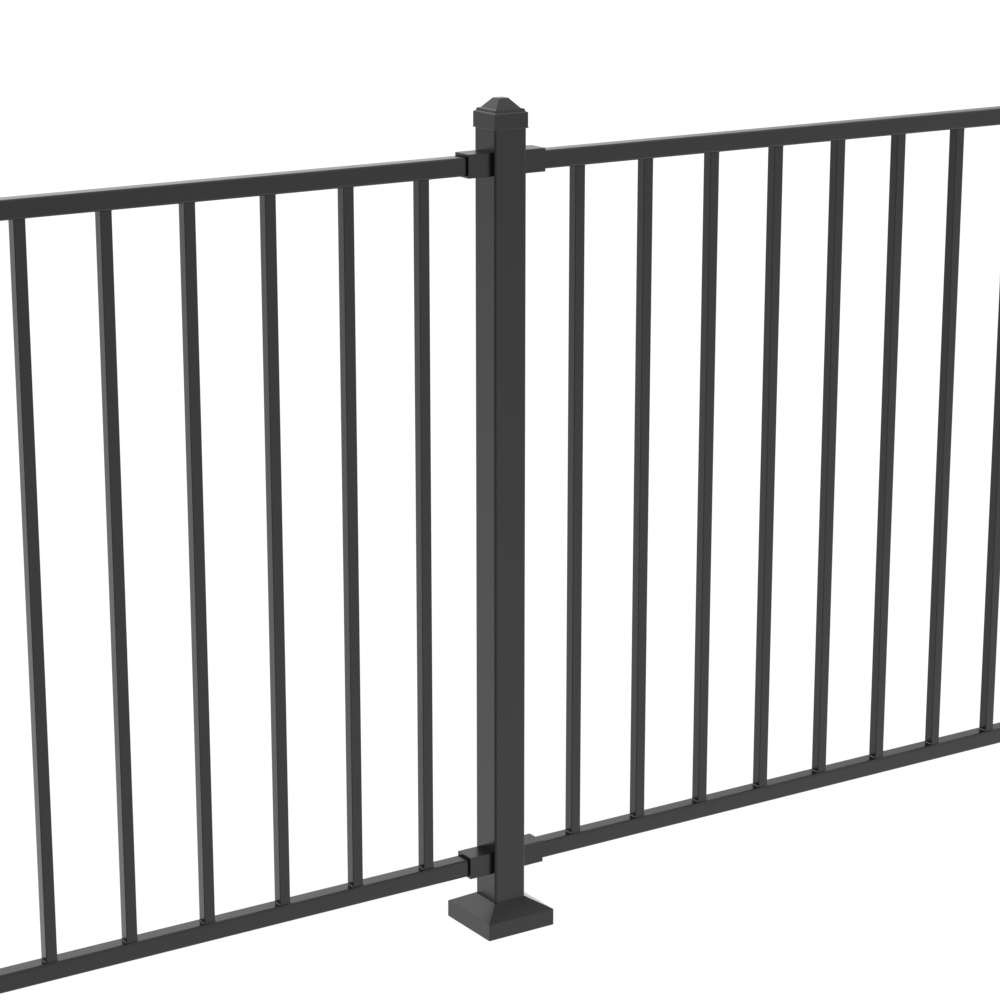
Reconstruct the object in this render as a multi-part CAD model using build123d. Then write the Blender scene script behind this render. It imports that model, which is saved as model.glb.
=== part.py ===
from build123d import *
import os

# Guard railing of two bays: three square posts on bolted base plates, with a welded
# panel of square balusters between each pair, held at its rail ends in socket brackets.
# Millimetres. X runs along the railing, Y across it and Z up. The origin is the middle of
# the centre post's base plate, on its underside.

# Panels: two rails punched for a row of balusters that are welded in, one panel to each bay
BAY = 1870.2
RAIL_WIDTH = 25.4
RAIL_WALL = 1.6
RAIL_CORNER = 3.0
TOP_RAIL_TOP = 1112.2
BOTTOM_RAIL_UNDERSIDE = 85.5
BALUSTER_WIDTH = 16.0
BALUSTER_WALL = 1.5
BALUSTER_CORNER = 0.8
BALUSTER_COUNT = 15
BALUSTER_ENTRY = 5.0
PANEL_END_GAP = 92.5
WELD_LEG = 1.5

# Posts: square tube, standing on the base plate and rising past the top rail
POST_WIDTH = 50.8
POST_WALL = 3.0
POST_CORNER = 3.0
POST_RISE = 54.3
POST_COUNT = 3

# Base plates: flat bar with four anchor holes, welded under the post
PLATE_WIDTH = 101.6
PLATE_THICKNESS = 8.0
ANCHOR_EDGE = 12.7
ANCHOR_HOLE = 11.0

# Base covers: thin sloped skirts that slip down the post and hide the plate
COVER_WALL = 2.0
COVER_PLATE_GAP = 2.2
COVER_POST_GAP = 0.3
COVER_SKIRT = 24.0
COVER_HEIGHT = 40.4

# Post caps: hollow stepped pyramids with a skirt round the post's end
CAP_POST_GAP = 0.25
CAP_WALL = 1.15
CAP_OVERLAP = 19.7
CAP_ROOF = 2.6
CAP_LIP = 1.0
CAP_LIP_HEIGHT = 1.5
CAP_EAVE = 1.2
CAP_SLOPE_RUN = 3.0
CAP_SLOPE_RISE = 1.8
CAP_RISER = 2.8
CAP_RISER_EDGE = 1.7
CAP_LEDGE_RUN = 4.5
CAP_LEDGE_RISE = 1.2
CAP_PYRAMID = 13.1
CAP_TOP_WIDTH = 15.0

# Brackets: sockets screwed to the post's faces, with a floor that the rail's end rests on
BRACKET_LENGTH = 36.5
BRACKET_WALL = 3.6
BRACKET_FLOOR = 2.7
BRACKET_BACK = 4.0
BRACKET_EDGE = 0.4
SOCKET_GAP = 0.5
FIXING_HOLE = 5.0
FIXING_SPACING = 12.0
LOCK_HOLE = 4.2

# Sizes that follow from those above
BALUSTER_ROW = BAY - POST_WIDTH - 2 * PANEL_END_GAP
BALUSTER_PITCH = (BALUSTER_ROW - BALUSTER_WIDTH) / (BALUSTER_COUNT - 1)
RAIL_LENGTH = BAY - POST_WIDTH - 2 * (BRACKET_BACK + SOCKET_GAP)
TOP_RAIL_UNDERSIDE = TOP_RAIL_TOP - RAIL_WIDTH
POST_TOP = TOP_RAIL_TOP + POST_RISE
ANCHOR_SPACING = PLATE_WIDTH - 2 * ANCHOR_EDGE
COVER_WIDTH = PLATE_WIDTH + 2 * (COVER_PLATE_GAP + COVER_WALL)
SOCKET_WIDTH = RAIL_WIDTH + 2 * SOCKET_GAP
SOCKET_HEIGHT = RAIL_WIDTH + SOCKET_GAP
BRACKET_WIDTH = SOCKET_WIDTH + 2 * BRACKET_WALL
BRACKET_HEIGHT = BRACKET_FLOOR + SOCKET_HEIGHT + BRACKET_WALL


def tube_section(width, wall, corner):
    """Section of a square tube, its bore rounded where the corner is larger than the wall."""
    bore_width = width - 2 * wall
    bore_corner = corner - wall
    outside = RectangleRounded(width, width, corner)
    if bore_corner > 0:
        return outside - RectangleRounded(bore_width, bore_width, bore_corner)
    return outside - Rectangle(bore_width, bore_width)


def four_sided(outline):
    """Body with the same outline seen from the front and from the side, mitred at its corners."""
    reach = outline.bounding_box().size.X
    along_y = extrude(Plane.XZ * outline, reach, both=True)
    along_x = extrude(Plane.YZ * outline, reach, both=True)
    return along_y & along_x


def mirrored_outline(right_side):
    """Face whose right half follows the given points from the bottom up."""
    left_side = [(-x, z) for x, z in reversed(right_side)]
    return make_face(Polyline(*right_side, *left_side, close=True))


def post():
    return Pos(Z=PLATE_THICKNESS) * extrude(
        tube_section(POST_WIDTH, POST_WALL, POST_CORNER), POST_TOP - PLATE_THICKNESS
    )


def base_plate():
    holes = GridLocations(ANCHOR_SPACING, ANCHOR_SPACING, 2, 2) * Circle(ANCHOR_HOLE / 2)
    return extrude(Rectangle(PLATE_WIDTH, PLATE_WIDTH) - holes, PLATE_THICKNESS)


def base_cover():
    """Shell with an upright skirt and four slopes that rise to the post."""
    opening = POST_WIDTH + 2 * COVER_POST_GAP
    outer_half = COVER_WIDTH / 2
    inner_half = outer_half - COVER_WALL
    rim_half = opening / 2
    outside = four_sided(
        mirrored_outline(
            [(outer_half, 0), (outer_half, COVER_SKIRT), (rim_half, COVER_HEIGHT)]
        )
    )
    inside = four_sided(
        mirrored_outline(
            [
                (inner_half, 0),
                (inner_half, COVER_SKIRT - COVER_WALL),
                (rim_half, COVER_HEIGHT - COVER_WALL),
            ]
        )
    )
    return outside - inside - extrude(Rectangle(opening, opening), COVER_HEIGHT)


def post_cap():
    """Skirt with a flared lip, a sloped eave, a rounded step and a pyramid, its roof on the post."""
    socket_half = POST_WIDTH / 2 + CAP_POST_GAP
    skirt_half = socket_half + CAP_WALL
    riser_half = skirt_half - CAP_SLOPE_RUN
    pyramid_half = riser_half - CAP_LEDGE_RUN
    top_half = CAP_TOP_WIDTH / 2
    bottom = POST_TOP - CAP_OVERLAP
    eave = POST_TOP + CAP_EAVE
    riser_foot = eave + CAP_SLOPE_RISE
    shoulder = riser_foot + CAP_RISER
    pyramid_foot = shoulder + CAP_LEDGE_RISE
    top = pyramid_foot + CAP_PYRAMID
    right_side = [
        (skirt_half + CAP_LIP, bottom),
        (skirt_half, bottom + CAP_LIP_HEIGHT),
        (skirt_half, eave),
        (riser_half, riser_foot),
        (riser_half, shoulder),
        (pyramid_half, pyramid_foot),
        (top_half, top),
    ]
    outline = mirrored_outline(right_side)
    levels = outline.vertices().group_by(Axis.Y)
    outline = fillet(levels[right_side.index((riser_half, shoulder))], CAP_RISER_EDGE)

    throat_half = riser_half - CAP_ROOF
    throat_top = pyramid_foot - CAP_ROOF
    slope_inset = CAP_ROOF * (pyramid_half - top_half) / (2 * CAP_PYRAMID)
    hollow = mirrored_outline(
        [
            (socket_half, bottom),
            (socket_half, POST_TOP),
            (throat_half, POST_TOP),
            (throat_half, throat_top),
            (pyramid_half - slope_inset, throat_top),
            (top_half - slope_inset, top - CAP_ROOF),
        ]
    )
    return four_sided(outline) - four_sided(hollow)


def bracket():
    """Socket that faces +X, its back on the YZ plane and the seat of the rail at the origin."""
    upwards = (Align.CENTER, Align.MIN)
    outside = Pos(Y=-BRACKET_FLOOR) * Rectangle(BRACKET_WIDTH, BRACKET_HEIGHT, align=upwards)
    body = extrude(Plane.YZ * outside, BRACKET_LENGTH)
    body = chamfer(body.edges() - body.faces().sort_by(Axis.X)[0].edges(), BRACKET_EDGE)
    opening = Plane.YZ * Rectangle(SOCKET_WIDTH, SOCKET_HEIGHT, align=upwards)
    socket = Pos(X=BRACKET_BACK) * extrude(opening, BRACKET_LENGTH)
    fixings = [
        Plane.YZ * Pos(Y=RAIL_WIDTH / 2) * spot * extrude(Circle(FIXING_HOLE / 2), BRACKET_BACK)
        for spot in GridLocations(FIXING_SPACING, 0, 2, 1)
    ]
    lock = Pos((BRACKET_LENGTH + BRACKET_BACK) / 2, 0, -BRACKET_FLOOR) * extrude(
        Circle(LOCK_HOLE / 2), BRACKET_FLOOR
    )
    return body - socket - fixings - lock


def panel():
    """Rails and balusters of one bay, centred on the bay and joined by small fillet welds."""
    square = Rectangle(BALUSTER_WIDTH, BALUSTER_WIDTH)
    outside = chamfer(square.vertices(), BALUSTER_CORNER)
    bore_width = BALUSTER_WIDTH - 2 * BALUSTER_WALL
    section = outside - Rectangle(bore_width, bore_width)
    row = GridLocations(BALUSTER_PITCH, 0, BALUSTER_COUNT, 1)
    top_face = BOTTOM_RAIL_UNDERSIDE + RAIL_WIDTH
    entry = RAIL_WALL + BALUSTER_ENTRY
    foot = top_face - entry
    length = TOP_RAIL_UNDERSIDE + entry - foot
    punched = [Pos(spot.position.X, 0, foot) * extrude(outside, length) for spot in row]
    rails = [
        Pos(-RAIL_LENGTH / 2, 0, underside + RAIL_WIDTH / 2)
        * extrude(Plane.YZ * tube_section(RAIL_WIDTH, RAIL_WALL, RAIL_CORNER), RAIL_LENGTH)
        - punched
        for underside in (BOTTOM_RAIL_UNDERSIDE, TOP_RAIL_UNDERSIDE)
    ]
    bars = [Pos(spot.position.X, 0, foot) * extrude(section, length) for spot in row]
    weld_foot = offset(outside, WELD_LEG, kind=Kind.INTERSECTION)
    weld = extrude(weld_foot, WELD_LEG, taper=45) - extrude(outside, WELD_LEG)
    low_welds = [Pos(spot.position.X, 0, top_face) * weld for spot in row]
    high_weld = mirror(weld, Plane.XY)
    high_welds = [Pos(spot.position.X, 0, TOP_RAIL_UNDERSIDE) * high_weld for spot in row]
    return rails[0] + (rails[1:] + bars + low_welds + high_welds)


os.makedirs("parts", exist_ok=True)


def save(name, shape):
    export_step(shape, f"parts/{name}.step")


post_names = ["left", "middle", "right"]
post_places = [(index - (POST_COUNT - 1) / 2) * BAY for index in range(POST_COUNT)]
for name, place in zip(post_names, post_places):
    save(f"{name}_post", Pos(X=place) * post())
    save(f"{name}_base_plate", Pos(X=place) * base_plate())
    save(f"{name}_base_cover", Pos(X=place) * base_cover())
    save(f"{name}_post_cap", Pos(X=place) * post_cap())

one_panel = panel()
one_bracket = bracket()
for side, first in zip(["left", "right"], post_places):
    save(f"{side}_panel", Pos(X=first + BAY / 2) * one_panel)
    for level, seat in (("lower", BOTTOM_RAIL_UNDERSIDE), ("upper", TOP_RAIL_UNDERSIDE)):
        near = Pos(first + POST_WIDTH / 2, 0, seat) * one_bracket
        far = Pos(first + BAY - POST_WIDTH / 2, 0, seat) * mirror(one_bracket, Plane.YZ)
        save(f"{side}_bay_{level}_left_bracket", near)
        save(f"{side}_bay_{level}_right_bracket", far)
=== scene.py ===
import math

import bmesh
import bpy
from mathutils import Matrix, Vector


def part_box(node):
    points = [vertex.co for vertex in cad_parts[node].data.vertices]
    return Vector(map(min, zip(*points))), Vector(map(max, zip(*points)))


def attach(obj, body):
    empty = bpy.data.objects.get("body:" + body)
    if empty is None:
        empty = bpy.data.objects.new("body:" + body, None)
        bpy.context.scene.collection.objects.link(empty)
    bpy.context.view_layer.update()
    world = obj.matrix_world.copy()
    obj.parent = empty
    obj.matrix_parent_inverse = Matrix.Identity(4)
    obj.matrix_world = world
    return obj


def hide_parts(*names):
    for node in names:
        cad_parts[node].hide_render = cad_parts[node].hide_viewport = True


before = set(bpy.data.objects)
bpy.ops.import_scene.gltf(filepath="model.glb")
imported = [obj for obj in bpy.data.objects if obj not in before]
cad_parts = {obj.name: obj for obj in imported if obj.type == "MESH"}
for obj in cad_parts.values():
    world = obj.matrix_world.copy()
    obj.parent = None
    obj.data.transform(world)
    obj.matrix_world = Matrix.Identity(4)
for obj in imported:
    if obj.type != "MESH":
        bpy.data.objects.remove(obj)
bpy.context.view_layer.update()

# Posts: three uprights of 2 in square steel tube with drawn, rounded corners. The tube is
# blasted, sprayed with black polyester powder and baked, which leaves a smooth satin skin
# with a faint orange peel.
SIDES = ("left", "middle", "right")


def powder_coat(name, roughness, peel_size, peel_height, darkest, palest):
    """Baked powder skin: near black, with orange peel, a finer grain and slow drifts over it."""
    grain_size = peel_size / 5
    grain_share = 0.3
    spray_patch = 0.16
    drift_low, drift_high = 0.3, 0.7
    blue_tint = 1.05
    refraction = 1.5
    coat = bpy.data.materials.new(name)
    coat.use_nodes = True
    tree = coat.node_tree
    skin = tree.nodes["Principled BSDF"]
    surface = tree.nodes.new("ShaderNodeTexCoord").outputs["Object"]

    def mottle(size, detail):
        cells = tree.nodes.new("ShaderNodeTexNoise")
        cells.inputs["Scale"].default_value = 1 / size
        cells.inputs["Detail"].default_value = detail
        tree.links.new(surface, cells.inputs["Vector"])
        return cells.outputs["Fac"]

    relief = tree.nodes.new("ShaderNodeMath")
    relief.operation = "MULTIPLY_ADD"
    tree.links.new(mottle(grain_size, detail=1), relief.inputs[0])
    relief.inputs[1].default_value = grain_share
    tree.links.new(mottle(peel_size, detail=1), relief.inputs[2])
    peel = tree.nodes.new("ShaderNodeBump")
    peel.inputs["Distance"].default_value = peel_height
    tree.links.new(relief.outputs[0], peel.inputs["Height"])
    tree.links.new(peel.outputs["Normal"], skin.inputs["Normal"])

    drift = mottle(spray_patch, detail=3)
    gloss = tree.nodes.new("ShaderNodeMapRange")
    gloss.inputs["From Min"].default_value = drift_low
    gloss.inputs["From Max"].default_value = drift_high
    gloss.inputs["To Min"].default_value = roughness[0]
    gloss.inputs["To Max"].default_value = roughness[1]
    tree.links.new(drift, gloss.inputs["Value"])
    tree.links.new(gloss.outputs["Result"], skin.inputs["Roughness"])
    tone = tree.nodes.new("ShaderNodeValToRGB")
    tone.color_ramp.elements[0].color = (darkest, darkest, darkest, 1)
    tone.color_ramp.elements[1].color = (palest, palest, palest * blue_tint, 1)
    tree.links.new(drift, tone.inputs["Fac"])
    tree.links.new(tone.outputs["Color"], skin.inputs["Base Color"])
    skin.inputs["IOR"].default_value = refraction
    return coat


def paint(nodes, coat):
    """Gives CAD solids their finish where they stand."""
    for node in nodes:
        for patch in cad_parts[node].material_slots:
            patch.material = coat


tube_coat = powder_coat(
    "tube_coat",
    roughness=(0.22, 0.27),
    peel_size=0.0018,
    peel_height=0.000024,
    darkest=0.0015,
    palest=0.0028,
)
paint([f"{side}_post" for side in SIDES], tube_coat)

# Base plates: 8 mm flat bar, sawn square, drilled at its corners for four anchors and welded
# under each post. The covers hide them, so their coat is thinner, duller and rougher.
plate_coat = powder_coat(
    "plate_coat",
    roughness=(0.38, 0.5),
    peel_size=0.0012,
    peel_height=0.00002,
    darkest=0.004,
    palest=0.008,
)
paint([f"{side}_base_plate" for side in SIDES], plate_coat)

# Anchor bolts: four hexagon bolts with washers to each plate, of the same black finish. They
# stand in the plate's holes, and their heads hold it down under the cover.
BOLT_SPACING = 0.0762
BOLT_SHANK_RADIUS = 0.005
BOLT_HEAD_ACROSS_FLATS = 0.016
BOLT_HEAD_HEIGHT = 0.0064
BOLT_CROWN_EDGE = 0.84
BOLT_CROWN_FOOT = 1.5
BOLT_CROWN_SIDES = 40
BOLT_HEAD_SIDES = 6
BOLT_SHANK_SIDES = 24
WASHER_RADIUS = 0.010
WASHER_THICKNESS = 0.0016
WASHER_SIDES = 28
MERGE_DISTANCE = 2e-6


def new_tree(name, sizes):
    """Geometry tree with a named input for each size, and the outputs of its input node by name."""
    tree = bpy.data.node_groups.new(name, "GeometryNodeTree")
    tree.interface.new_socket("Geometry", in_out="OUTPUT", socket_type="NodeSocketGeometry")
    kinds = {int: "NodeSocketInt", float: "NodeSocketFloat", tuple: "NodeSocketVector"}
    for label, size in sizes.items():
        tree.interface.new_socket(label, in_out="INPUT", socket_type=kinds[type(size)])
    return tree, tree.nodes.new("NodeGroupInput").outputs


def step(tree, kind, inputs, **options):
    """One node of a tree: its inputs are plain values, other nodes' outputs, or lists of those."""
    node = tree.nodes.new(kind)
    for option, choice in options.items():
        setattr(node, option, choice)
    for label, given in inputs.items():
        if isinstance(given, list):
            for source in given:
                tree.links.new(source, node.inputs[label])
        elif isinstance(given, bpy.types.NodeSocket):
            tree.links.new(given, node.inputs[label])
        else:
            node.inputs[label].default_value = given
    return node.outputs[0]


def maths(tree, operation, first, second):
    """One sum of two values."""
    return step(tree, "ShaderNodeMath", {0: first, 1: second}, operation=operation)


def vector(tree, x=0.0, y=0.0, z=0.0):
    """Three values as one vector."""
    return step(tree, "ShaderNodeCombineXYZ", {"X": x, "Y": y, "Z": z})


def rod(tree, sides, radius, length):
    """Upright rod with its middle at the origin."""
    return step(
        tree, "GeometryNodeMeshCylinder", {"Vertices": sides, "Radius": radius, "Depth": length}
    )


def raised(tree, shape, height, share=1.0):
    """A shape lifted by a share of a height."""
    lift = vector(tree, z=maths(tree, "MULTIPLY", height, share))
    return step(tree, "GeometryNodeTransform", {"Geometry": shape, "Translation": lift})


def merged(tree, shape):
    """A shape with its doubled points and sliver faces closed up."""
    return step(
        tree, "GeometryNodeMergeByDistance", {"Geometry": shape, "Distance": MERGE_DISTANCE}
    )


def in_line(tree, piece, count, start, stride, turn=(0, 0, 0)):
    """A piece set out at equal strides from a start."""
    spots = step(
        tree, "GeometryNodeMeshLine", {"Count": count, "Start Location": start, "Offset": stride}
    )
    return step(
        tree,
        "GeometryNodeInstanceOnPoints",
        {"Points": spots, "Instance": piece, "Rotation": turn},
    )


def close_tree(tree, shapes, coat):
    """Joins the shapes, makes the instances real and gives them their finish."""
    joined = step(tree, "GeometryNodeJoinGeometry", {"Geometry": shapes})
    real = step(tree, "GeometryNodeRealizeInstances", {"Geometry": joined})
    coated = step(tree, "GeometryNodeSetMaterial", {"Geometry": real, "Material": coat})
    tree.links.new(coated, tree.nodes.new("NodeGroupOutput").inputs["Geometry"])


def settle(piece):
    """Turns a piece and its modifiers into a plain mesh."""
    finished = piece.evaluated_get(bpy.context.evaluated_depsgraph_get())
    piece.data = bpy.data.meshes.new_from_object(finished)
    piece.data.name = piece.name
    piece.modifiers.clear()


def grown(name, tree, sizes, crease=40):
    """Plain mesh piece that a tree makes from these sizes, smooth up to the crease angle."""
    piece = bpy.data.objects.new(name, bpy.data.meshes.new(name))
    bpy.context.scene.collection.objects.link(piece)
    growth = piece.modifiers.new(tree.name, "NODES")
    growth.node_group = tree
    for item in tree.interface.items_tree:
        if item.in_out == "INPUT":
            growth[item.identifier] = sizes[item.name]
    settle(piece)
    piece.data.shade_smooth()
    piece.data.set_sharp_from_angle(angle=math.radians(crease))
    flats = piece.modifiers.new("flats_stay_flat", "WEIGHTED_NORMAL")
    flats.keep_sharp = True
    settle(piece)
    return piece


def fit(piece, slot, *nodes):
    """Fixes a piece to the railing and hides the CAD solids that it stands for; its slot is not
    used.
    """
    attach(piece, "root")
    if nodes:
        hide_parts(*nodes)


plate_low, plate_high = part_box("left_base_plate")
next_plate_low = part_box("middle_base_plate")[0]
bolt_sizes = {
    "Plates": len(SIDES),
    "First Plate": ((plate_low.x + plate_high.x) / 2, 0.0, plate_high.z),
    "Plate Stride": (next_plate_low.x - plate_low.x, 0.0, 0.0),
    "Bolt Spacing": BOLT_SPACING,
    "Shank Radius": BOLT_SHANK_RADIUS,
    "Shank Length": plate_high.z,
    "Head Radius": BOLT_HEAD_ACROSS_FLATS / math.sqrt(3),
    "Head Height": BOLT_HEAD_HEIGHT,
    "Crown Edge": BOLT_CROWN_EDGE,
    "Crown Foot": BOLT_CROWN_FOOT,
    "Washer Radius": WASHER_RADIUS,
    "Washer Thickness": WASHER_THICKNESS,
}
bolt_tree, size = new_tree("anchor_bolts", bolt_sizes)
washer = rod(bolt_tree, WASHER_SIDES, size["Washer Radius"], size["Washer Thickness"])
washer = raised(bolt_tree, washer, size["Washer Thickness"], 0.5)
hexagon = rod(bolt_tree, BOLT_HEAD_SIDES, size["Head Radius"], size["Head Height"])
crown = step(
    bolt_tree,
    "GeometryNodeMeshCone",
    {
        "Vertices": BOLT_CROWN_SIDES,
        "Radius Top": maths(bolt_tree, "MULTIPLY", size["Head Radius"], size["Crown Edge"]),
        "Radius Bottom": maths(bolt_tree, "MULTIPLY", size["Head Radius"], size["Crown Foot"]),
        "Depth": size["Head Height"],
    },
)
crown = raised(bolt_tree, crown, size["Head Height"], -0.5)
head = step(
    bolt_tree,
    "GeometryNodeMeshBoolean",
    {"Mesh 2": [hexagon, crown]},
    operation="INTERSECT",
    solver="EXACT",
)
head = raised(bolt_tree, merged(bolt_tree, head), size["Head Height"], 0.5)
head = raised(bolt_tree, head, size["Washer Thickness"])
shank = rod(bolt_tree, BOLT_SHANK_SIDES, size["Shank Radius"], size["Shank Length"])
shank = raised(bolt_tree, shank, size["Shank Length"], -0.5)
bolt = step(bolt_tree, "GeometryNodeJoinGeometry", {"Geometry": [washer, head, shank]})
plate_corners = step(
    bolt_tree,
    "GeometryNodeMeshGrid",
    {
        "Size X": size["Bolt Spacing"],
        "Size Y": size["Bolt Spacing"],
        "Vertices X": 2,
        "Vertices Y": 2,
    },
)
four_bolts = step(
    bolt_tree, "GeometryNodeInstanceOnPoints", {"Points": plate_corners, "Instance": bolt}
)
all_bolts = in_line(
    bolt_tree, four_bolts, size["Plates"], size["First Plate"], size["Plate Stride"]
)
close_tree(bolt_tree, [all_bolts], plate_coat)
fit(grown("anchor_bolts", bolt_tree, bolt_sizes), "plate_coat")

# Base covers: thin sloped skirts that drop down the post over its plate. The metal is formed
# to a small radius along every fold, and sprayed with a slightly duller black powder.
COVER_FOLD_RADIUS = 0.00025
cast_coat = powder_coat(
    "cast_coat",
    roughness=(0.28, 0.33),
    peel_size=0.0015,
    peel_height=0.000022,
    darkest=0.0015,
    palest=0.003,
)


def eased_copy(node, radius, coat):
    """Copy of a CAD solid with its triangles merged into whole faces and its edges eased."""
    one_point = 1e-6
    one_plane = math.radians(0.5)
    sharp_edge = math.radians(20)
    easing_steps = 3
    shape = bmesh.new()
    shape.from_mesh(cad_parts[node].data)
    bmesh.ops.remove_doubles(shape, verts=shape.verts, dist=one_point)
    bmesh.ops.dissolve_limit(
        shape, angle_limit=one_plane, verts=shape.verts, edges=shape.edges
    )
    mesh = bpy.data.meshes.new(f"{node}_eased")
    shape.to_mesh(mesh)
    shape.free()
    if "custom_normal" in mesh.attributes:
        mesh.attributes.remove(mesh.attributes["custom_normal"])
    mesh.shade_smooth()
    mesh.materials.clear()
    mesh.materials.append(coat)
    piece = bpy.data.objects.new(f"{node}_eased", mesh)
    bpy.context.scene.collection.objects.link(piece)
    easing = piece.modifiers.new("eased_edges", "BEVEL")
    easing.width = radius
    easing.segments = easing_steps
    easing.limit_method = "ANGLE"
    easing.angle_limit = sharp_edge
    easing.harden_normals = True
    settle(piece)
    return piece


for side in SIDES:
    cover = f"{side}_base_cover"
    fit(eased_copy(cover, COVER_FOLD_RADIUS, cast_coat), "cast_coat", cover)

# Panels: two 1 in square steel rails and fifteen 16 mm square tubes each. The tubes stand in
# punched holes that they fill, so none is cut here, and are welded all round. The whole panel
# is then coated in one piece.
BALUSTER_COUNT = 15
BALUSTER_WIDTH = 0.016
BALUSTER_PITCH = 0.1156
BALUSTER_WALL = 0.0015
BALUSTER_CORNER = 0.0011
BALUSTER_ENTRY = 0.0066
RAIL_COUNT = 2
RAIL_WALL = 0.0016
RAIL_CORNER = 0.003
TUBE_CORNER_POINTS = 5
LEAST_BORE_CORNER = 0.0002
WELD_LEG = 0.0015
WELD_SECTION = ((0, 0, 0), (0, -0.75, 0), (0.52, -0.42, 0), (1, 0, 0))
WELD_CORNER_POINTS = 3
WELD_RIPPLES = 28
WELD_RIPPLE = 0.055
WELD_RIPPLE_POINTS = 6
WELD_WANDER = 0.14
WELD_PATCHES_PER_METRE = 220.0


def rounded_square(tree, width, corner, corner_points):
    """Outline of a square with rounded corners."""
    square = step(
        tree, "GeometryNodeCurvePrimitiveQuadrilateral", {"Width": width, "Height": width}
    )
    return step(
        tree,
        "GeometryNodeFilletCurve",
        {"Curve": square, "Count": corner_points, "Radius": corner},
        mode="POLY",
    )


def square_tube(tree, width, wall, corner, length):
    """Hollow square tube with rounded corners, standing on the ground plane."""
    bore = maths(tree, "SUBTRACT", width, maths(tree, "MULTIPLY", wall, 2.0))
    bore_corner = maths(tree, "SUBTRACT", corner, wall)
    bore_corner = maths(tree, "MAXIMUM", bore_corner, LEAST_BORE_CORNER)
    rings = [
        rounded_square(tree, width, corner, TUBE_CORNER_POINTS),
        rounded_square(tree, bore, bore_corner, TUBE_CORNER_POINTS),
    ]
    both = step(tree, "GeometryNodeJoinGeometry", {"Geometry": rings})
    cut_end = step(tree, "GeometryNodeFillCurve", {"Curve": both})
    drawn = step(
        tree,
        "GeometryNodeExtrudeMesh",
        {"Mesh": cut_end, "Offset": vector(tree, z=length), "Individual": False},
    )
    foot = step(tree, "GeometryNodeFlipFaces", {"Mesh": cut_end})
    whole = step(tree, "GeometryNodeJoinGeometry", {"Geometry": [drawn, foot]})
    return merged(tree, whole)


def weld_bead(tree, width, corner, leg, ripples, ripple, wander):
    """Fillet weld round a square tube's foot: a bulged wedge, rippled and a little uneven."""
    path = rounded_square(tree, width, corner, WELD_CORNER_POINTS)
    points = maths(tree, "MULTIPLY", ripples, float(WELD_RIPPLE_POINTS))
    path = step(tree, "GeometryNodeResampleCurve", {"Curve": path, "Count": points})
    path = step(tree, "GeometryNodeSetCurveNormal", {"Curve": path}, mode="Z_UP")
    index = step(tree, "GeometryNodeInputIndex", {})
    turn = maths(tree, "MULTIPLY", index, 2 * math.pi / WELD_RIPPLE_POINTS)
    wave = maths(tree, "MULTIPLY", maths(tree, "SINE", turn, 0.0), ripple)
    patches = step(
        tree, "ShaderNodeTexNoise", {"Scale": WELD_PATCHES_PER_METRE, "Detail": 1.0}
    )
    uneven = maths(tree, "MULTIPLY", maths(tree, "SUBTRACT", patches, 0.5), wander)
    swell = maths(tree, "ADD", maths(tree, "ADD", wave, uneven), 1.0)
    swell = maths(tree, "MULTIPLY", swell, leg)
    wedge = step(
        tree,
        "GeometryNodeCurvePrimitiveQuadrilateral",
        {f"Point {number}": point for number, point in enumerate(WELD_SECTION, 1)},
        mode="POINTS",
    )
    return step(
        tree, "GeometryNodeCurveToMesh", {"Curve": path, "Profile Curve": wedge, "Scale": swell}
    )


def panel_sizes(side):
    """Sizes and places of one bay's panel, read off its CAD solid."""
    low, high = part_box(f"{side}_panel")
    rail_width = high.y - low.y
    first_baluster = (low.x + high.x - BALUSTER_PITCH * (BALUSTER_COUNT - 1)) / 2
    bottom_rail_top = low.z + rail_width
    top_rail_underside = high.z - rail_width
    foot = bottom_rail_top - BALUSTER_ENTRY
    return {
        "Rail Width": rail_width,
        "Rail Wall": RAIL_WALL,
        "Rail Corner": RAIL_CORNER,
        "Rail Length": high.x - low.x,
        "Bottom Rail": (low.x, 0.0, low.z + rail_width / 2),
        "Rise To Top Rail": (0.0, 0.0, high.z - low.z - rail_width),
        "Balusters": BALUSTER_COUNT,
        "Baluster Width": BALUSTER_WIDTH,
        "Baluster Wall": BALUSTER_WALL,
        "Baluster Corner": BALUSTER_CORNER,
        "Baluster Length": top_rail_underside + BALUSTER_ENTRY - foot,
        "Baluster Stride": (BALUSTER_PITCH, 0.0, 0.0),
        "First Baluster": (first_baluster, 0.0, foot),
        "First Low Weld": (first_baluster, 0.0, bottom_rail_top),
        "First High Weld": (first_baluster, 0.0, top_rail_underside),
        "Weld Leg": WELD_LEG,
        "Weld Ripples": WELD_RIPPLES,
        "Weld Ripple": WELD_RIPPLE,
        "Weld Wander": WELD_WANDER,
    }


panel_tree, size = new_tree("welded_panel", panel_sizes("left"))
rail = square_tube(
    panel_tree, size["Rail Width"], size["Rail Wall"], size["Rail Corner"], size["Rail Length"]
)
along_the_bay = (0, math.pi / 2, 0)
rails = in_line(
    panel_tree, rail, RAIL_COUNT, size["Bottom Rail"], size["Rise To Top Rail"], along_the_bay
)
baluster = square_tube(
    panel_tree,
    size["Baluster Width"],
    size["Baluster Wall"],
    size["Baluster Corner"],
    size["Baluster Length"],
)
bead = weld_bead(
    panel_tree,
    size["Baluster Width"],
    size["Baluster Corner"],
    size["Weld Leg"],
    size["Weld Ripples"],
    size["Weld Ripple"],
    size["Weld Wander"],
)
upside_down = (math.pi, 0, 0)
rows = [
    in_line(panel_tree, piece, size["Balusters"], size[first], size["Baluster Stride"], turn)
    for piece, first, turn in (
        (baluster, "First Baluster", (0, 0, 0)),
        (bead, "First Low Weld", (0, 0, 0)),
        (bead, "First High Weld", upside_down),
    )
]
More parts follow.
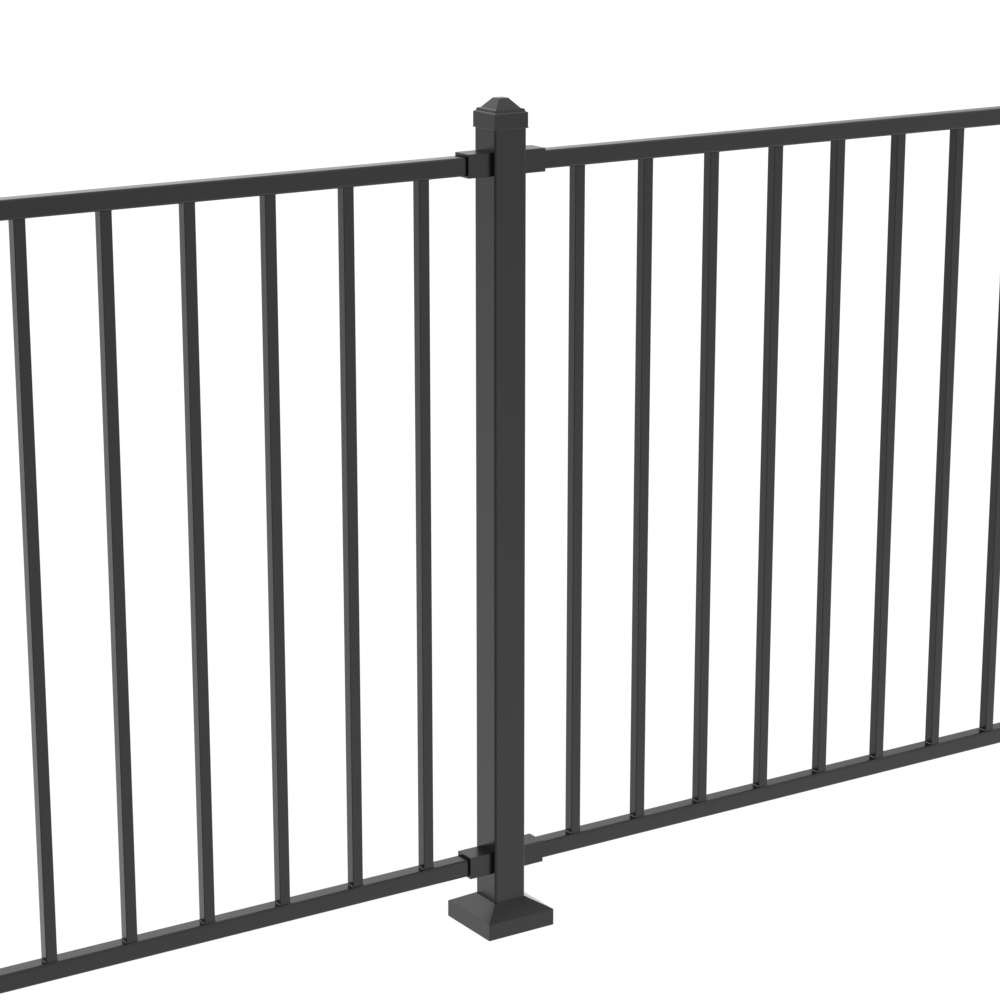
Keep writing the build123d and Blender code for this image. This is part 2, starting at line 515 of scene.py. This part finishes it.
close_tree(panel_tree, [rails, *rows], tube_coat)
for side in ("left", "right"):
    panel = grown(f"{side}_welded_panel", panel_tree, panel_sizes(side))
    fit(panel, "tube_coat", f"{side}_panel")

# Brackets: cast sockets with crisp edges, screwed to the post's faces through their backs before
# the panel is lowered in. They carry the same powder coat as the covers.
BRACKETS = [
    f"{bay}_bay_{level}_{end}_bracket"
    for bay in ("left", "right")
    for level in ("lower", "upper")
    for end in ("left", "right")
]
paint(BRACKETS, cast_coat)

# Lock screws: one pan-head steel screw with a cross recess under each bracket, in the lock hole
# of its floor and up against the rail. They are coated black like the brackets.
SCREW_HEAD_RADIUS = 0.0036
SCREW_HEAD_HEIGHT = 0.0022
SCREW_THREAD_RADIUS = 0.0020
SCREW_RECESS = 0.0009
SCREW_RECESS_LENGTH = 0.00396
SCREW_HEAD_SIDES = 28
SCREW_HEAD_RINGS = 14
SCREW_THREAD_SIDES = 20
BRACKET_FLOOR = 0.0027
BRACKET_BACK = 0.004


def under_socket(node, towards_rail):
    """Middle of a bracket's socket, on the bracket's underside."""
    low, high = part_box(node)
    return ((low.x + high.x + towards_rail * BRACKET_BACK) / 2, 0.0, low.z)


first_screw = under_socket("left_bay_lower_left_bracket", 1)
far_screw = under_socket("left_bay_lower_right_bracket", -1)
upper_screw = under_socket("left_bay_upper_left_bracket", 1)
next_bay_screw = under_socket("right_bay_lower_left_bracket", 1)
screw_sizes = {
    "Head Radius": SCREW_HEAD_RADIUS,
    "Head Height": SCREW_HEAD_HEIGHT,
    "Thread Radius": SCREW_THREAD_RADIUS,
    "Thread Length": BRACKET_FLOOR,
    "Recess": SCREW_RECESS,
    "Recess Length": SCREW_RECESS_LENGTH,
    "First Screw": first_screw,
    "To Far End": (far_screw[0] - first_screw[0], 0.0, 0.0),
    "To Upper Rail": (0.0, 0.0, upper_screw[2] - first_screw[2]),
    "To Next Bay": (next_bay_screw[0] - first_screw[0], 0.0, 0.0),
}
screw_tree, size = new_tree("lock_screws", screw_sizes)
ball = step(
    screw_tree,
    "GeometryNodeMeshUVSphere",
    {"Segments": SCREW_HEAD_SIDES, "Rings": SCREW_HEAD_RINGS, "Radius": size["Head Radius"]},
)
flatness = maths(screw_tree, "DIVIDE", size["Head Height"], size["Head Radius"])
dome = step(
    screw_tree,
    "GeometryNodeTransform",
    {"Geometry": ball, "Scale": vector(screw_tree, 1.0, 1.0, flatness)},
)
well_clear = 4.0
block = maths(screw_tree, "MULTIPLY", size["Head Radius"], well_clear)
above = step(
    screw_tree, "GeometryNodeMeshCube", {"Size": vector(screw_tree, block, block, block)}
)
above = raised(screw_tree, above, block, 0.5)
slots = []
for slot_size in (
    vector(screw_tree, size["Recess Length"], size["Recess"], size["Head Height"]),
    vector(screw_tree, size["Recess"], size["Recess Length"], size["Head Height"]),
):
    slot = step(screw_tree, "GeometryNodeMeshCube", {"Size": slot_size})
    slots.append(raised(screw_tree, slot, size["Head Height"], -1.0))
head = step(
    screw_tree,
    "GeometryNodeMeshBoolean",
    {"Mesh 1": dome, "Mesh 2": [above, *slots]},
    operation="DIFFERENCE",
    solver="EXACT",
)
thread = rod(screw_tree, SCREW_THREAD_SIDES, size["Thread Radius"], size["Thread Length"])
thread = raised(screw_tree, thread, size["Thread Length"], 0.5)
screw = step(
    screw_tree, "GeometryNodeJoinGeometry", {"Geometry": [merged(screw_tree, head), thread]}
)
pair = 2
rail_screws = in_line(screw_tree, screw, pair, (0, 0, 0), size["To Far End"])
bay_screws = in_line(screw_tree, rail_screws, pair, (0, 0, 0), size["To Upper Rail"])
all_screws = in_line(screw_tree, bay_screws, pair, size["First Screw"], size["To Next Bay"])
close_tree(screw_tree, [all_screws], cast_coat)
fit(grown("lock_screws", screw_tree, screw_sizes), "cast_coat")

# Post caps: hollow die-cast pyramids, each with a sloped eave, a rounded step and a skirt that
# slips over the post's end. The casting's edges are slightly blunt under the coat.
CAP_EDGE_RADIUS = 0.00035
for side in SIDES:
    cap = f"{side}_post_cap"
    fit(eased_copy(cap, CAP_EDGE_RADIUS, cast_coat), "cast_coat", cap)

# Studio floor: a plain white sweep, evenly lit, that reads as white and takes only a trace of
# shadow under the covers.
FLOOR_HALF = 30
FLOOR_GAP = 0.0005
FLOOR_GREY = 0.1
FLOOR_ROUGHNESS = 0.9
FLOOR_GLOW = 0.95
floor_mesh = bpy.data.meshes.new("studio_floor")
floor_corners = [
    (x * FLOOR_HALF, y * FLOOR_HALF, -FLOOR_GAP) for x, y in ((-1, -1), (1, -1), (1, 1), (-1, 1))
]
floor_mesh.from_pydata(floor_corners, [], [(0, 1, 2, 3)])
floor = bpy.data.objects.new("studio_floor", floor_mesh)
bpy.context.scene.collection.objects.link(floor)
floor_paint = bpy.data.materials.new("floor_white")
floor_paint.use_nodes = True
white = floor_paint.node_tree.nodes["Principled BSDF"]
white.inputs["Base Color"].default_value = (FLOOR_GREY, FLOOR_GREY, FLOOR_GREY, 1)
white.inputs["Roughness"].default_value = FLOOR_ROUGHNESS
white.inputs["Specular IOR Level"].default_value = 0
white.inputs["Emission Color"].default_value = (1, 1, 1, 1)
white.inputs["Emission Strength"].default_value = FLOOR_GLOW
floor_mesh.materials.append(floor_paint)
floor.visible_glossy = False

# Studio light: one soft white room, bright behind the railing and to its right, and dim on the
# camera's side. Soft boxes hang high at the back and on the right, the floor has a sheen behind
# the right bay, and dark cloths take some light from the cap's small faces.
ROOM_BY_BEARING = (
    (-180, 0.78),
    (-147, 0.66),
    (-100, 0.68),
    (-60, 0.76),
    (-45, 0.76),
    (-38, 0.85),
    (-32, 1.0),
    (-22, 1.2),
    (22, 1.22),
    (31, 1.15),
    (36, 1.0),
    (40, 0.82),
    (44, 0.74),
    (58, 0.85),
    (85, 1.2),
    (120, 1.14),
    (140, 1.135),
    (156, 1.015),
    (180, 0.78),
)
ROOM_BY_ELEVATION = (
    (-90, 1.15),
    (-23, 1.15),
    (-15, 1.04),
    (-10, 0.93),
    (-6, 0.84),
    (2, 0.93),
    (9, 0.98),
    (22, 1.04),
    (90, 1.05),
)
BACK_BOX = {"bearing": -5, "elevation": 55, "reach": 28, "strength": 0.82}
RIGHT_BOX = {"bearing": 77, "elevation": 64, "reach": 15, "strength": 0.62}
FLOOR_SHEEN = {"bearing": 38, "elevation": -14, "reach": 20, "strength": 1.2}
RIGHT_CLOTH = {"bearing": 40, "elevation": 37, "reach": 14, "strength": -0.65}
LEFT_CLOTH = {"bearing": -24, "elevation": 24, "reach": 12, "strength": -0.4}
LOW_CLOTH = {"bearing": -33, "elevation": -2, "reach": 10, "strength": -0.13}
RAMP_FULL = 2.0

studio = bpy.data.worlds.new("studio")
bpy.context.scene.world = studio
studio.use_nodes = True
light = studio.node_tree
outlook = light.nodes.new("ShaderNodeTexCoord").outputs["Generated"]
apart = light.nodes.new("ShaderNodeSeparateXYZ")
light.links.new(outlook, apart.inputs[0])


def room_ramp(value, low, high, stops):
    """Brightness of the room, read off pairs of a value and its level, in parts of RAMP_FULL."""
    fraction = step(
        light, "ShaderNodeMapRange", {"Value": value, "From Min": low, "From Max": high}
    )
    ramp = light.nodes.new("ShaderNodeValToRGB")
    light.links.new(fraction, ramp.inputs["Fac"])
    marks = ramp.color_ramp.elements
    while len(marks) < len(stops):
        marks.new(1.0)
    for mark, (place, level) in zip(marks, stops):
        mark.position = (place - low) / (high - low)
        grey = level / RAMP_FULL
        mark.color = (grey, grey, grey, 1)
    return ramp.outputs["Color"]


def soft_patch(bearing, elevation, reach, strength):
    """Round patch of light added or taken away, full in its middle and gone at its reach."""
    level = math.cos(math.radians(elevation))
    middle = (
        math.sin(math.radians(bearing)) * level,
        math.cos(math.radians(bearing)) * level,
        math.sin(math.radians(elevation)),
    )
    facing = light.nodes.new("ShaderNodeVectorMath")
    facing.operation = "DOT_PRODUCT"
    light.links.new(outlook, facing.inputs[0])
    facing.inputs[1].default_value = middle
    return step(
        light,
        "ShaderNodeMapRange",
        {
            "Value": facing.outputs["Value"],
            "From Min": math.cos(math.radians(reach)),
            "From Max": 1.0,
            "To Min": 0.0,
            "To Max": strength,
        },
        interpolation_type="SMOOTHSTEP",
    )


bearing = maths(light, "ARCTAN2", apart.outputs["X"], apart.outputs["Y"])
walls = room_ramp(
    bearing,
    -math.pi,
    math.pi,
    [(math.radians(angle), level) for angle, level in ROOM_BY_BEARING],
)
heights = room_ramp(
    apart.outputs["Z"],
    -1.0,
    1.0,
    [(math.sin(math.radians(angle)), level) for angle, level in ROOM_BY_ELEVATION],
)
room = maths(light, "MULTIPLY", maths(light, "MULTIPLY", walls, heights), RAMP_FULL ** 2)
for patch in (BACK_BOX, RIGHT_BOX, FLOOR_SHEEN, RIGHT_CLOTH, LEFT_CLOTH, LOW_CLOTH):
    room = maths(light, "ADD", room, soft_patch(**patch))
seen_by_camera = light.nodes.new("ShaderNodeLightPath").outputs["Is Camera Ray"]
backdrop = step(light, "ShaderNodeMix", {"Factor": seen_by_camera, "A": room, "B": 1.0})
light.links.new(backdrop, light.nodes["Background"].inputs["Strength"])
light.nodes["Background"].inputs["Color"].default_value = (1, 1, 1, 1)
bpy.context.scene.view_settings.view_transform = "Standard"

# Camera: a long lens at head height, in front of the left bay and turned to the right, with
# the middle post in the centre of the frame.
FRAME_PIXELS = 1000
FOCAL_PIXELS = 2839.93
TURN_TO_RIGHT = math.radians(33.247)
TILT_DOWN = math.radians(14.944)
CAMERA_PLACE = (-2.0907, -3.18781, 1.64626)
SENSOR_WIDTH = 36
FARTHEST_SEEN = 200
camera_lens = bpy.data.cameras.new("camera")
camera_lens.sensor_width = SENSOR_WIDTH
camera_lens.lens = FOCAL_PIXELS * SENSOR_WIDTH / FRAME_PIXELS
camera_lens.clip_end = FARTHEST_SEEN
camera = bpy.data.objects.new("camera", camera_lens)
bpy.context.scene.collection.objects.link(camera)
camera.location = CAMERA_PLACE
camera.rotation_euler = (math.pi / 2 - TILT_DOWN, 0, -TURN_TO_RIGHT)
bpy.context.scene.camera = camera
